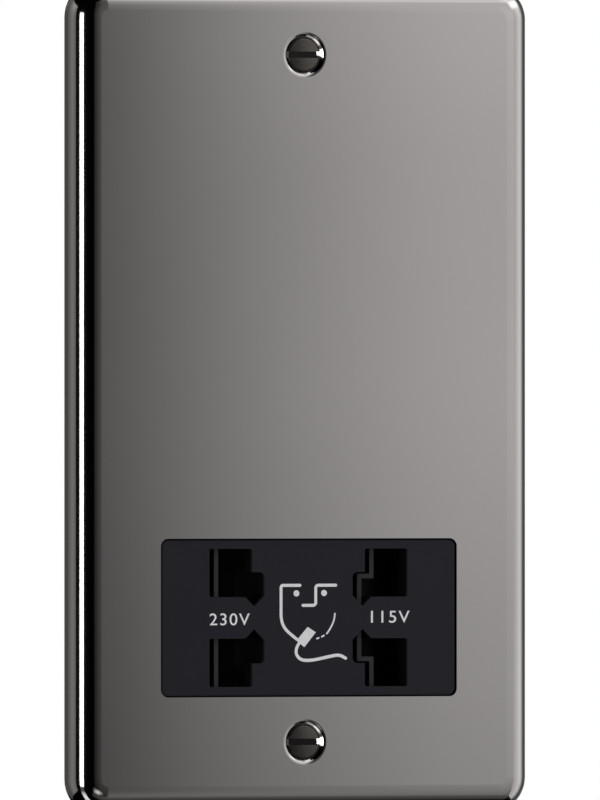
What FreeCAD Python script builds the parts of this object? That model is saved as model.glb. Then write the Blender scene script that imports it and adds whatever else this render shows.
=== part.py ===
import FreeCAD, Part
import math
import os

# Dual-voltage shaver socket: a pressed metal plate with a plastic outlet insert low on it,
# and behind the plate a moulded carrier with the shutter, the contacts, the switch and the
# safety transformer.
# X runs to the right, Y into the wall and Z up. The origin lies midway between the two
# fixing screws, on the plane of the wall that the plate's rear rim rests on.

# Pressed plate
plate_width = 86.0
plate_height = 146.0
plate_depth = 5.3
sheet = 1.2
plate_corner = 6.3
plate_edge = 5.0
fixing_pitch = 120.6

# Fixing screws, M3.5 countersunk, and the pressed dimples that they sit in
screw_r = 1.75
screw_neck_r = 1.55
screw_hole_r = 1.95
dimple_r = 4.05
dimple_shoulder = 0.8
dimple_web = 0.9
screw_seat_gap = 0.05
screw_head_r = 2.95
screw_disc_r = 2.65
screw_rim = 0.3
screw_dome = 0.12
screw_neck_reach = 0.6
screw_length = 32.0
slot_width = 1.1
slot_depth = 0.65

# Outlet insert
insert_width = 55.1
insert_height = 27.4
insert_corner = 1.2
insert_x = 0.8
insert_z = -38.5
insert_recess = 0.3
insert_gap = 0.2
insert_depth = 4.6
insert_flange = 2.2
insert_flange_thickness = 1.6
insert_edge = 0.3

# Outlet apertures, the one in the upper right quarter, from the insert's centre
aperture_in = 10.57
aperture_out = 18.55
aperture_low = 3.65
aperture_high = 12.1
lobe_in = 8.27
lobe_high = 8.0
lobe_chamfer = 1.9
lobe_tip = 2.0
lobe_round = 0.9
aperture_round = 0.35
rib_width = 0.8
rib_inset = 1.12
rib_recess = 0.8

# Pins of the plugs that the outlets take
pin_r = 2.5
pin_pitch = 16.6
pin_window_gap = 0.9
pin_window_corner = 0.8

# Weld studs that hold the carrier
stud_r = 1.5
stud_inset = 4.0
stud_housing_gap = 4.75
ear_inset = 2.7
stud_under_chamber = 3.95
stud_over_core = 9.0
stud_tip = 0.9
stud_hole_r = 1.7
stud_boss_r = 3.6
ear_half = 2.6
washer_r = 3.4
washer_thickness = 0.5
nut_flats = 5.5
nut_thickness = 2.4
nut_bore_gap = 0.05

# Carrier moulding
wall = 1.6
floor_thickness = 1.6
base_rear = 1.2
base_thickness = 2.4
base_side = 4.5
base_margin = 2.0
base_corner = 4.0
moulding_gap = 0.25
chamber_side_gap = 0.3
chamber_end_gap = 1.3
insert_side_room = 1.05
rear_half = 24.0
rear_depth = 9.0
rear_boss_x = 20.3
rear_boss_r = 2.5

# Shutter slider
travel = 8.0
slider_gap = 0.2
slider_plate = 1.8
slider_tip = 19.3
slider_front_half = 11.9
slider_depth = 6.6
slider_tip_thickness = 1.2
ramp_wall = 1.8
switch_band = 3.2
lug_half = 1.4
lug_gap = 0.3
trough_height = 3.8

# Centring springs
spring_r = 1.35
spring_wire = 0.25
spring_turns = 6
spring_end_gap = 0.1
spring_front_gap = 0.4
peg_r = 0.85
peg_length = 1.2

# Switch
stem_half = 1.8
stem_root = 0.5
bridge_gap = 0.3
bridge_half = 5.2
bridge_width = 3.2
bridge_foot = 0.8
strip = 0.4
dome_height = 1.0
dome_r = 1.3
dome_tip_r = 0.78
contact_gap = 0.1
switch_strip_z = 4.4
switch_strip_width = 2.6
switch_strip_half = 10.2

# Outlet contacts
jaw_z = 7.6
jaw_half = 3.2
jaw_throat = 3.0
jaw_mouth = 6.0
leaf = 0.5
jaw_length = 6.6
jaw_flare = 1.8
tail_width = 3.0
tail_reach = 5.0
tail_slot_gap = 0.3

# Rear cover
cover_thickness = 1.6
cover_screw_r = 1.1
cover_screw_head_r = 2.1
cover_screw_head = 1.4
cover_screw_length = 7.0
thread_bite = 0.15

# Transformer core
core_width = 54.0
core_over_chamber = 4.55
core_front = 5.5
core_bolt_r = 1.5
core_bolt_gap = 0.1
bolt_head_r = 2.75
bolt_head = 1.9
pillar_r = 3.4

# Bobbin and windings
bobbin_gap = 0.2
bobbin_wall = 1.0
bobbin_flange = 1.2
bobbin_over = 0.5
bobbin_side_gap = 0.4
winding_room = 1.8
winding_corner = 3.0
tape_thickness = 0.4
winding_gap = 0.1
rail_height = 3.0
rail_depth = 6.5
tag_width = 1.2
tag_thickness = 0.6
tag_inset = 5.6
tag_reach = 3.0
tag_gap = 0.05
cutout_width = 11.0
cutout_height = 6.4
cutout_depth = 3.4
cutout_round = 0.6

# Terminals
terminal_web = 3.5
entry_clear = 0.55
terminal_over_core = 6.0
terminal_height = 13.0
terminal_depth = 13.0
terminal_wall = 1.4
clamp_width = 9.0
clamp_height = 9.2
clamp_depth = 8.4
clamp_gap = 0.15
clamp_bore_r = 1.9
entry_gap = 0.6
terminal_screw_r = 1.6
terminal_screw_head_r = 2.4
terminal_screw_head = 1.8
terminal_screw_gap = 0.1
terminal_screw_seat = 0.3

# Leads
lead_r = 0.8
lead_bend = 3.0
lead_gap = 0.15
earth_tag_r = 3.3
earth_tag_thickness = 0.6
earth_tongue = 6.6
tongue_width = 2.6
lane_gap = 1.4
lane_depth = 4.0
inner_lane_gap = 2.0
inner_lane_rise = 4.0
lane_rise = 10.0
tail_turn = 3.4
tail_rise = 14.0
outlet_turn = 6.6
outlet_rise = 1.0
bolt_lane_gap = 1.4
crossing_gap = 3.0

# Places worked out from the sizes above
plate_front = -plate_depth
plate_inner = plate_front + sheet
shoulder_drop = dimple_shoulder * (1 - math.sqrt(0.5))
shoulder_run = dimple_shoulder * math.sqrt(0.5)
dimple_depth = shoulder_drop + dimple_r - shoulder_run - screw_hole_r
dimple_rear = plate_front + dimple_depth + dimple_web
dimple_rear_r = screw_hole_r - dimple_web + sheet * math.sqrt(2)
screw_rim_y = plate_front + dimple_depth + screw_hole_r - screw_head_r - screw_seat_gap
screw_top = screw_rim_y - screw_rim
outlet_left_x = -(aperture_out + aperture_in) / 2 + (rib_inset + rib_width) / 2
outlet_right_x = (aperture_out + aperture_in) / 2 + (rib_inset + rib_width) / 2
insert_front = plate_front + insert_recess
insert_rear = insert_front + insert_depth
flange_rear = plate_inner + insert_flange_thickness
chamber_half_x = max(slider_tip + travel + chamber_end_gap, insert_width / 2 + insert_side_room)
chamber_half_z = insert_height / 2 + moulding_gap
slider_half_z = chamber_half_z - chamber_side_gap
slider_front = insert_rear + slider_gap
slider_rear = slider_front + slider_depth
floor_front = slider_rear + 1.5 * slider_gap
floor_rear = floor_front + floor_thickness
trough_low = chamber_half_z + wall
trough_high = trough_low + trough_height
spring_z = (trough_low + trough_high) / 2
spring_y = slider_front + spring_r + spring_wire + spring_front_gap
cover_front = floor_rear + rear_depth
cover_rear = cover_front + cover_thickness
base_front = base_rear - base_thickness
chamber_top = insert_z + trough_high + wall
chamber_low = insert_z - chamber_half_z - wall
core_low_z = chamber_top + core_over_chamber
core_unit = core_width / 6
core_yoke = core_unit
core_window = 3 * core_unit
core_limb = 2 * core_unit
core_side_limb = core_unit
core_stack = 2 * core_unit
core_hole_inset = core_unit / 2
core_window_low = core_low_z + core_yoke
core_high_z = core_window_low + core_window + core_yoke
core_mid_z = core_window_low + core_window / 2
core_rear = core_front + core_stack
core_mid_y = (core_front + core_rear) / 2
winding_inner = core_limb / 2 + bobbin_gap + bobbin_wall
winding_thickness = core_unit - bobbin_gap - bobbin_wall - winding_room
bobbin_reach = core_unit - bobbin_over
bobbin_half_z = core_window / 2 - bobbin_gap
bobbin_rear = core_rear + bobbin_reach
rail_front = bobbin_rear - rail_depth
tag_pitch = core_limb / 2 + core_side_limb - bobbin_side_gap - tag_inset
tape_rear = core_mid_y + core_stack / 2 + bobbin_gap + bobbin_wall + winding_thickness
tag_rear = bobbin_rear + tag_reach
stud_low_z = chamber_low - stud_under_chamber
stud_high_z = core_high_z + stud_over_core
terminal_pitch = clamp_width + terminal_web
terminal_x_middle = -(screw_r + clamp_bore_r + entry_clear)
housing_half = clamp_width / 2 + clamp_gap + terminal_wall
housing_reach = terminal_pitch - terminal_x_middle + housing_half
stud_high_x = max(core_width / 2 + base_side - stud_inset, housing_reach + stud_housing_gap)
stud_low_x = chamber_half_x + wall - ear_inset
base_half = stud_high_x + stud_inset
terminal_z = core_high_z + terminal_over_core + terminal_height / 2
base_top = terminal_z + terminal_height / 2 + base_margin
clamp_front = base_rear + terminal_wall
clamp_rear = clamp_front + clamp_depth
clamp_mid_y = (clamp_front + clamp_rear) / 2
bridge_front = floor_rear + bridge_gap
stud_end = base_rear + washer_thickness + nut_thickness + stud_tip
switch_strip_front = bridge_front + 2 * strip + contact_gap + dome_height
tail_rear = cover_rear + tail_reach
crossing_z = core_high_z + crossing_gap
lane_x = core_width / 2 + lane_gap + lead_r
lane_y = floor_rear + lane_depth
inner_lane_x = core_width / 2 - core_hole_inset - inner_lane_gap
bolt_lane_y = core_rear + bolt_head + bolt_lane_gap + lead_r
cutout_y = tape_rear + tape_thickness + cutout_depth / 2
tag_solder_y = bobbin_rear + tag_reach / 2


def vec(x, y, z):
    return FreeCAD.Vector(x, y, z)


def block(x0, x1, y0, y1, z0, z1):
    return Part.makeBox(x1 - x0, y1 - y0, z1 - z0, vec(x0, y0, z0))


def rod(radius, y0, y1, x, z):
    return Part.makeCylinder(radius, y1 - y0, vec(x, y0, z), vec(0, 1, 0))


def frustum(r0, r1, y0, y1, x, z):
    return Part.makeCone(r0, r1, y1 - y0, vec(x, y0, z), vec(0, 1, 0))


def upright(radius, z0, z1, x, y):
    return Part.makeCylinder(radius, z1 - z0, vec(x, y, z0), vec(0, 0, 1))


def round_corner(before, corner, after, radius):
    """Start, middle and end of the arc that rounds a corner between two straight runs."""
    into = (corner - before).normalize()
    out = (after - corner).normalize()
    turn = into.getAngle(out)
    setback = radius * math.tan(turn / 2)
    inwards = (out - into).normalize()
    centre = corner + inwards * (radius / math.cos(turn / 2))
    return corner - into * setback, centre - inwards * radius, corner + out * setback


def outline(corners, y):
    """Closed wire at depth y through corners given as x, z and corner radius."""
    points = [vec(x, y, z) for x, z, radius in corners]
    count = len(points)
    pieces = []
    ends = []
    for i, (x, z, radius) in enumerate(corners):
        if radius > 0:
            ends.append(round_corner(points[i - 1], points[i], points[(i + 1) % count], radius))
        else:
            ends.append((points[i], None, points[i]))
    for i in range(count):
        start, middle, end = ends[i]
        if middle is not None:
            pieces.append(Part.Arc(start, middle, end).toShape())
        following = ends[(i + 1) % count][0]
        if end.distanceToPoint(following) > 1e-6:
            pieces.append(Part.LineSegment(end, following).toShape())
    return Part.Wire(pieces)


def slab(corners, y0, y1):
    """Straight solid of one rounded outline, from depth y0 to depth y1."""
    return Part.Face(outline(corners, y0)).extrude(vec(0, y1 - y0, 0))


def rectangle(half_x, half_z, radius, x=0.0, z=0.0):
    return [(x - half_x, z - half_z, radius), (x + half_x, z - half_z, radius),
            (x + half_x, z + half_z, radius), (x - half_x, z + half_z, radius)]


def edges_at(shape, y):
    """Edges that lie wholly at one depth."""
    found = []
    for edge in shape.Edges:
        if abs(edge.BoundBox.YMin - y) < 1e-5 and abs(edge.BoundBox.YMax - y) < 1e-5:
            found.append(edge)
    return found


def fused(shapes):
    whole = shapes[0]
    for shape in shapes[1:]:
        whole = whole.fuse(shape)
    return whole.removeSplitter()


def cut_all(shape, tools):
    for tool in tools:
        shape = shape.cut(tool)
    return shape


def group(shapes):
    return Part.makeCompound(shapes)


def at_insert(shape):
    """The same shape moved from the plate's middle line to the insert's."""
    return shape.translated(vec(insert_x, 0, 0))


def stud_places():
    rows = ((stud_low_x, stud_low_z), (stud_high_x, stud_high_z))
    return [(side * x, z) for x, z in rows for side in (-1, 1)]


def core_bolt_places():
    across = core_width / 2 - core_hole_inset
    heights = (core_low_z + core_hole_inset, core_high_z - core_hole_inset)
    return [(side * across, z) for z in heights for side in (-1, 1)]


# Plate and fixing screws
def faceplate():
    """Pressed pan with dimpled screw holes, the insert's cut-out and four weld studs."""
    half_x = plate_width / 2
    half_z = plate_height / 2
    outer = slab(rectangle(half_x, half_z, plate_corner), plate_front, 0)
    outer = outer.makeFillet(plate_edge, edges_at(outer, plate_front))
    hollow = slab(rectangle(half_x - sheet, half_z - sheet, plate_corner - sheet),
                  plate_inner, sheet)
    hollow = hollow.makeFillet(plate_edge - sheet, edges_at(hollow, plate_inner))
    plate = outer.cut(hollow)
    for side in (-1, 1):
        z = side * fixing_pitch / 2
        plate = plate.fuse(frustum(dimple_rear_r + dimple_rear - plate_inner, dimple_rear_r,
                                   plate_inner, dimple_rear, 0, z))
        plate = plate.cut(dimple_hollow(z))
    window = slab(rectangle(insert_width / 2 + insert_gap, insert_height / 2 + insert_gap,
                            insert_corner + insert_gap, insert_x, insert_z),
                  plate_front - sheet, plate_inner + sheet)
    plate = plate.cut(window)
    studs = [rod(stud_r, plate_inner, stud_end, x, z) for x, z in stud_places()]
    return fused([plate] + studs)


def turned(profile, z):
    """Solid of revolution about the axis of a fixing screw."""
    solid = Part.Face(Part.Wire(profile)).revolve(vec(0, 0, 0), vec(0, 1, 0), 360)
    solid.translate(vec(0, 0, z))
    return solid


def run(points):
    """Straight edges through points given as x and y."""
    corners = [vec(x, y, 0) for x, y in points]
    return [Part.LineSegment(a, b).toShape() for a, b in zip(corners, corners[1:])]


def dimple_hollow(z):
    """Room in front of a dimple: rounded shoulder, cone and clearance hole."""
    middle = math.radians(22.5)
    shoulder = Part.Arc(vec(dimple_r, plate_front, 0),
                        vec(dimple_r - dimple_shoulder * math.sin(middle),
                            plate_front + dimple_shoulder * (1 - math.cos(middle)), 0),
                        vec(dimple_r - shoulder_run, plate_front + shoulder_drop, 0))
    cone = run([(dimple_r - shoulder_run, plate_front + shoulder_drop),
                (screw_hole_r, plate_front + dimple_depth), (screw_hole_r, 0), (0, 0),
                (0, plate_front - sheet), (dimple_r, plate_front - sheet),
                (dimple_r, plate_front)])
    return turned([shoulder.toShape()] + cone, z)


def fixing_screw(z):
    """Countersunk screw with a level slot and a plain neck, seated in the plate's dimple."""
    neck = screw_rim_y + screw_head_r - screw_neck_r
    thread = dimple_rear + screw_neck_reach
    tip = screw_top + screw_length
    dome = Part.Arc(vec(0, screw_top - screw_dome, 0),
                    vec(screw_disc_r / 2, screw_top - screw_dome * 0.75, 0),
                    vec(screw_disc_r, screw_top, 0))
    turn = math.sqrt(0.5)
    edge = Part.Arc(vec(screw_disc_r, screw_top, 0),
                    vec(screw_disc_r + (screw_head_r - screw_disc_r) * turn,
                        screw_rim_y - screw_rim * turn, 0),
                    vec(screw_head_r, screw_rim_y, 0))
    shank = run([(screw_head_r, screw_rim_y), (screw_neck_r, neck), (screw_neck_r, thread),
                 (screw_r, thread + screw_r - screw_neck_r), (screw_r, tip - screw_r),
                 (0, tip), (0, screw_top - screw_dome)])
    body = turned([dome.toShape(), edge.toShape()] + shank, z)
    return body.cut(block(-dimple_r, dimple_r, plate_front - sheet, screw_top + slot_depth,
                          z - slot_width / 2, z + slot_width / 2))


def stud_washers():
    return group([rod(washer_r, base_rear, base_rear + washer_thickness, x, z)
                  .cut(rod(stud_hole_r, base_rear, base_rear + washer_thickness, x, z))
                  for x, z in stud_places()[1:]])


def hexagon(flats, y0, y1, x, z):
    reach = flats / math.sqrt(3)
    corners = [(x + reach * math.cos(math.radians(60 * i)),
                z + reach * math.sin(math.radians(60 * i)), 0) for i in range(6)]
    return slab(corners, y0, y1)


def stud_nuts():
    nuts = []
    for i, (x, z) in enumerate(stud_places()):
        seat = base_rear + (earth_tag_thickness if i == 0 else washer_thickness)
        nut = hexagon(nut_flats, seat, seat + nut_thickness, x, z)
        nuts.append(nut.cut(rod(stud_r + nut_bore_gap, seat, seat + nut_thickness, x, z)))
    return group(nuts)


# Outlet insert
def aperture_corners(side, level):
    """Square aperture with its pointed lobe on the side of the insert's middle."""
    tip_x = lobe_in + lobe_chamfer
    back_x = tip_x + aperture_low - lobe_tip
    shape = [
        (aperture_out, aperture_low, aperture_round),
        (aperture_out, aperture_high, aperture_round),
        (aperture_in, aperture_high, aperture_round),
        (aperture_in, lobe_high, 0),
        (lobe_in, lobe_high, lobe_round),
        (lobe_in, lobe_tip + lobe_chamfer, 0),
        (tip_x, lobe_tip, 0),
        (back_x, aperture_low, 0),
    ]
    return [(side * x, insert_z + level * z, radius) for x, z, radius in shape]


def aperture_rib(side, level):
    """Thin rib that stands just inside the left edge of an aperture."""
    y0 = insert_front + rib_recess
    y1 = insert_rear
    if side < 0:
        x0 = -aperture_out + rib_inset
        rib = [(x0, x0 + rib_width, aperture_low, aperture_high)]
    else:
        outer_x = aperture_in + rib_inset
        inner_x = lobe_in + rib_inset
        step = lobe_high - rib_inset
        rib = [(outer_x, outer_x + rib_width, step, aperture_high),
               (inner_x, outer_x + rib_width, step, step + rib_width),
               (inner_x, inner_x + rib_width, lobe_tip, step + rib_width)]
    solids = []
    for x0, x1, low, high in rib:
        z0, z1 = sorted((insert_z + level * low, insert_z + level * high))
        solids.append(block(x0, x1, y0, y1, z0, z1))
    return fused(solids)


def socket_insert():
    """Moulded outlet face with its holding flange and four apertures."""
    face = slab(rectangle(insert_width / 2, insert_height / 2, insert_corner, z=insert_z),
                insert_front, insert_rear)
    face = face.makeFillet(insert_edge, edges_at(face, insert_front))
    flange_half = insert_width / 2 + insert_flange
    flange_low = insert_z - insert_height / 2 - insert_flange
    flange_round = insert_corner + insert_flange / 2
    flange = slab([(-flange_half, flange_low, flange_round),
                   (flange_half, flange_low, flange_round),
                   (flange_half, chamber_top, flange_round),
                   (-flange_half, chamber_top, flange_round)], plate_inner, flange_rear)
    moulding = face.fuse(flange)
    for side in (-1, 1):
        for level in (-1, 1):
            moulding = moulding.cut(slab(aperture_corners(side, level), insert_front - 1,
                                         insert_rear + 1))
            moulding = moulding.fuse(aperture_rib(side, level))
    return moulding.removeSplitter()


# Carrier
def carrier_outline():
    """Outline of the carrier's base: a broad upper part and the chamber's width below."""
    left = insert_x - chamber_half_x - wall
    right = insert_x + chamber_half_x + wall
    return [(left, chamber_low, base_corner / 2), (right, chamber_low, base_corner / 2),
            (right, chamber_top, 0), (base_half, chamber_top + base_margin, 0),
            (base_half, base_top, base_corner), (-base_half, base_top, base_corner),
            (-base_half, chamber_top + base_margin, 0), (left, chamber_top, 0)]


def pin_window(x, z):
    reach = pin_r + pin_window_gap
    return slab(rectangle(reach, reach, pin_window_corner, x, insert_z + z),
                floor_front - 1, floor_rear + 1)


def terminal_x(i):
    """Middle of a terminal; the wires enter beside the upper fixing screw."""
    return terminal_x_middle + (i - 1) * terminal_pitch


def module_carrier():
    """Rear moulding: shutter chamber, contact chamber, transformer seat and terminal housing."""
    half_x = chamber_half_x + wall
    chamber = block(-half_x, half_x, flange_rear, floor_rear, chamber_low, chamber_top)
    base = slab(carrier_outline(), base_front, base_rear)
    rear_low = insert_z - chamber_half_z - wall
    rear_high = insert_z + chamber_half_z + wall
    rear = block(-rear_half, rear_half, floor_rear, cover_front, rear_low, rear_high)
    housing = block(terminal_x(0) - housing_half, terminal_x(2) + housing_half, base_rear,
                    base_rear + terminal_depth, terminal_z - terminal_height / 2,
                    terminal_z + terminal_height / 2)
    solids = [at_insert(chamber), base, at_insert(rear), housing]
    for x, z in stud_places():
        solids.append(rod(stud_boss_r, plate_inner, base_rear, x, z))
        if z < 0:
            solids.append(block(x - ear_half, x + ear_half, base_front, base_rear,
                                z, chamber_low + wall))
    for x, z in core_bolt_places():
        solids.append(rod(pillar_r, base_rear, core_front, x, z))
    body = fused(solids)
    body = cut_all(body, carrier_hollows())
    for side in (-1, 1):
        peg = sorted((side * (chamber_half_x - peg_length), side * (chamber_half_x + wall / 2)))
        body = body.fuse(at_insert(rod(rear_boss_r, floor_rear, cover_front,
                                       side * rear_boss_x, insert_z)))
        body = body.fuse(at_insert(across_peg(*peg)))
    body = body.removeSplitter()
    return cut_all(body, carrier_holes())


def carrier_hollows():
    """Shutter chamber, spring trough, contact chamber, coil window and terminal pockets."""
    low = insert_z - chamber_half_z
    high = insert_z + chamber_half_z
    shutter_room = block(-chamber_half_x, chamber_half_x, flange_rear - 1, floor_front, low, high)
    trough = block(-chamber_half_x, chamber_half_x, flange_rear - 1, floor_front,
                   insert_z + trough_low, insert_z + trough_high)
    lug_slot_half = travel + lug_half + lug_gap
    lug_slot = block(-lug_slot_half, lug_slot_half, flange_rear - 1, floor_front,
                     high - 1, insert_z + trough_low + 1)
    contact_room = block(-rear_half + wall, rear_half - wall, floor_rear, cover_front + 1,
                         low, high)
    coil_half = core_limb / 2 + core_side_limb
    coil_window = block(-coil_half, coil_half, base_front - 1, base_rear + 1,
                        core_mid_z - bobbin_half_z - moulding_gap,
                        core_mid_z + bobbin_half_z + moulding_gap)
    hollows = [at_insert(room) for room in (shutter_room, trough, lug_slot, contact_room)]
    hollows.append(coil_window)
    pocket_half = clamp_width / 2 + clamp_gap
    for i in range(3):
        x = terminal_x(i)
        hollows.append(block(x - pocket_half, x + pocket_half, clamp_front - clamp_gap,
                             base_rear + terminal_depth + 1,
                             terminal_z - clamp_height / 2 - clamp_gap,
                             terminal_z + clamp_height / 2 + clamp_gap))
    return hollows


def carrier_holes():
    """Stud, bolt, pin, switch, wire and screw holes."""
    holes = [rod(stud_hole_r, plate_inner - 1, base_rear + 1, x, z) for x, z in stud_places()]
    holes += [rod(core_bolt_r + core_bolt_gap, base_front - 1, core_front + 1, x, z)
              for x, z in core_bolt_places()]
    slot_half = travel + stem_half + lug_gap
    outlet = [block(-slot_half, slot_half, floor_front - 1, floor_rear + 1,
                    insert_z - stem_half - lug_gap, insert_z + stem_half + lug_gap)]
    for side, x in ((-1, outlet_left_x), (1, outlet_right_x)):
        outlet += [pin_window(x, level * pin_pitch / 2) for level in (-1, 1)]
        outlet.append(rod(cover_screw_r - thread_bite, cover_front - cover_screw_length,
                          cover_front + 1, side * rear_boss_x, insert_z))
    holes += [at_insert(hole) for hole in outlet]
    # a wire entry is a slot in the housing's upper wall, open to the rear like its pocket
    entry_half = clamp_bore_r + entry_gap
    for i in range(3):
        holes.append(block(terminal_x(i) - entry_half, terminal_x(i) + entry_half,
                           clamp_mid_y - entry_half, base_rear + terminal_depth + 1,
                           terminal_z + clamp_height / 2, terminal_z + terminal_height / 2 + 1))
        holes.append(upright(lead_r + lead_gap, terminal_z - terminal_height / 2 - 1,
                             terminal_z - clamp_height / 2, lead_drop_x(i), clamp_mid_y))
    return holes


def lead_drop_x(i):
    """Where a lead meets its terminal clamp, beside the wire bore."""
    return terminal_x(i) + clamp_bore_r + 1.2


# Shutter and its springs
def ramp_profile(side):
    """Wedge end of the slider in plan: a sloping wall from the front plate to the rear tip."""
    front_x = slider_front_half
    tip_x = slider_tip
    slope_run = tip_x - front_x
    inner_x = tip_x - slope_run * slider_tip_thickness / slider_depth - ramp_wall
    points = [(front_x, slider_front), (tip_x, slider_rear - slider_tip_thickness),
              (tip_x, slider_rear), (inner_x, slider_rear),
              (front_x - ramp_wall, slider_front + slider_plate),
              (front_x - ramp_wall, slider_front)]
    corners = [vec(side * x, y, 0) for x, y in points]
    return Part.Face(Part.makePolygon(corners + corners[:1]))


def shutter_slider():
    """One sliding shutter: front plate, four wedge ends, spring lug and switch stem."""
    plate = block(-slider_front_half, slider_front_half, slider_front,
                  slider_front + slider_plate, insert_z - slider_half_z, insert_z + slider_half_z)
    solids = [plate]
    for side in (-1, 1):
        for low in (-slider_half_z, switch_band):
            wedge = ramp_profile(side).extrude(vec(0, 0, slider_half_z - switch_band))
            wedge.translate(vec(0, 0, insert_z + low))
            solids.append(wedge)
    lug = block(-lug_half, lug_half, slider_front, spring_y + spring_r + spring_wire,
                insert_z + slider_half_z - 1, insert_z + trough_high - lug_gap)
    stem = block(-stem_half, stem_half, slider_front + slider_plate - stem_root,
                 bridge_front, insert_z - stem_half, insert_z + stem_half)
    peg = across_peg(-lug_half - peg_length, lug_half + peg_length)
    return fused(solids + [lug, stem, peg])


def across_peg(x0, x1):
    """Round peg along X that a centring spring sits on."""
    return Part.makeCylinder(peg_r, x1 - x0, vec(x0, spring_y, insert_z + spring_z), vec(1, 0, 0))


def centring_spring(side):
    """Coil spring between the chamber's end wall and the slider's lug."""
    start = lug_half + spring_end_gap + spring_wire
    length = chamber_half_x - spring_end_gap - spring_wire - start
    path = Part.makeHelix(length / spring_turns, length, spring_r)
    ring = Part.Wire(Part.makeCircle(spring_wire, vec(spring_r, 0, 0), vec(0, 1, 0)))
    coil = path.makePipeShell([ring], True, True)
    coil.rotate(vec(0, 0, 0), vec(0, 1, 0), 90 * side)
    coil.translate(vec(side * start, spring_y, insert_z + spring_z))
    return coil


# Switch
def switch_bridge():
    """Sprung metal bridge fixed on the slider's stem, with its ends turned back."""
    y0 = bridge_front
    back = block(-bridge_width / 2, bridge_width / 2, y0, y0 + strip,
                 insert_z - bridge_half, insert_z + bridge_half)
    solids = [back]
    for level in (-1, 1):
        z0, z1 = sorted((level * (switch_strip_z - bridge_foot), level * bridge_half))
        solids.append(block(-bridge_width / 2, bridge_width / 2, y0 + strip, y0 + 2 * strip,
                            insert_z + z0, insert_z + z1))
    return fused(solids)


def switch_contact(level):
    """Fixed strip with a domed contact at each end of the bridge's travel."""
    y0 = switch_strip_front
    z0 = insert_z + level * switch_strip_z - switch_strip_width / 2
    z1 = z0 + switch_strip_width
    solids = [block(-switch_strip_half, switch_strip_half, y0, y0 + strip, z0, z1)]
    for side in (-1, 1):
        x0, x1 = sorted((side * (switch_strip_half - strip), side * switch_strip_half))
        solids.append(block(x0, x1, floor_rear, y0 + strip, z0, z1))
        solids.append(frustum(dome_tip_r, dome_r, y0 - dome_height, y0, side * travel,
                              insert_z + level * switch_strip_z))
    x0, x1 = sorted((level * (switch_strip_half - tail_width), level * switch_strip_half))
    solids.append(block(x0, x1, y0, tail_rear, z1 - strip, z1) if level > 0 else
                  block(x0, x1, y0, tail_rear, z0, z0 + strip))
    return fused(solids)


# Outlet contacts
def jaw(x, level):
    """Folded spring jaw, open to the front, that grips a plug pin from above and below."""
    y0 = cover_front - leaf - jaw_length
    rear = cover_front - leaf
    z = insert_z + level * jaw_z
    half = jaw_throat / 2
    mouth = jaw_mouth / 2
    points = [(mouth, y0), (half, y0 + jaw_flare), (half, rear - leaf), (-half, rear - leaf),
              (-half, y0 + jaw_flare), (-mouth, y0), (-mouth - leaf, y0),
              (-half - leaf, y0 + jaw_flare + 0.2), (-half - leaf, rear),
              (half + leaf, rear), (half + leaf, y0 + jaw_flare + 0.2), (mouth + leaf, y0)]
    corners = [vec(x - jaw_half, y, z + dz) for dz, y in points]
    return Part.Face(Part.makePolygon(corners + corners[:1])).extrude(vec(2 * jaw_half, 0, 0))


def contact_tail(x, level):
    """Flat tag from the back of a jaw, out through the rear cover."""
    z = insert_z + level * jaw_z
    return block(x - tail_width / 2, x + tail_width / 2, cover_front - 2 * leaf, tail_rear,
                 z - leaf / 2, z + leaf / 2)


def contact_common():
    """Upper contact: two jaws on one strip, shared by both outlets."""
    z = insert_z + jaw_z
    rail = block(outlet_left_x, outlet_right_x, cover_front - 2 * leaf, cover_front - leaf,
                 z - jaw_throat / 2, z + jaw_throat / 2)
    return fused([jaw(outlet_left_x, 1), jaw(outlet_right_x, 1), rail, contact_tail(0, 1)])


def outlet_contact(x):
    return fused([jaw(x, -1), contact_tail(x, -1)])


def tail_places():
    """Middle of each slot that the rear cover has for a tag, with its half width."""
    places = [(0, insert_z + jaw_z, leaf), (outlet_left_x, insert_z - jaw_z, leaf),
              (outlet_right_x, insert_z - jaw_z, leaf)]
    for level in (-1, 1):
        edge = switch_strip_z + switch_strip_width / 2 - strip / 2
        places.append((level * (switch_strip_half - tail_width / 2), insert_z + level * edge,
                       strip))
    return places


def socket_rear_cover():
    """Lid of the contact chamber, with slots for the tags and two screw holes."""
    low = insert_z - chamber_half_z - wall
    high = insert_z + chamber_half_z + wall
    lid = slab([(-rear_half, low, 1), (rear_half, low, 1), (rear_half, high, 1),
                (-rear_half, high, 1)], cover_front, cover_rear)
    for x, z, thickness in tail_places():
        half_x = tail_width / 2 + tail_slot_gap
        half_z = thickness / 2 + tail_slot_gap
        lid = lid.cut(block(x - half_x, x + half_x, cover_front - 1, cover_rear + 1,
                            z - half_z, z + half_z))
    for side in (-1, 1):
        lid = lid.cut(rod(cover_screw_r + 0.2, cover_front - 1, cover_rear + 1,
                          side * rear_boss_x, insert_z))
    return lid


def slotted_screw(shank_r, head_r, head, shank, x, seat, z):
    """Cheese-headed screw whose head sits on a face at depth seat and points to the rear."""
    body = rod(shank_r, seat - shank, seat, x, z).fuse(rod(head_r, seat, seat + head, x, z))
    slot = block(x - head_r, x + head_r, seat + head / 2, seat + head + 1,
                 z - head_r / 6, z + head_r / 6)
    return body.removeSplitter().cut(slot)


def cover_screws():
    return group([slotted_screw(cover_screw_r - 0.2, cover_screw_head_r, cover_screw_head,
                                cover_thickness + cover_screw_length - 1,
                                side * rear_boss_x, cover_rear, insert_z) for side in (-1, 1)])


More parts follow.
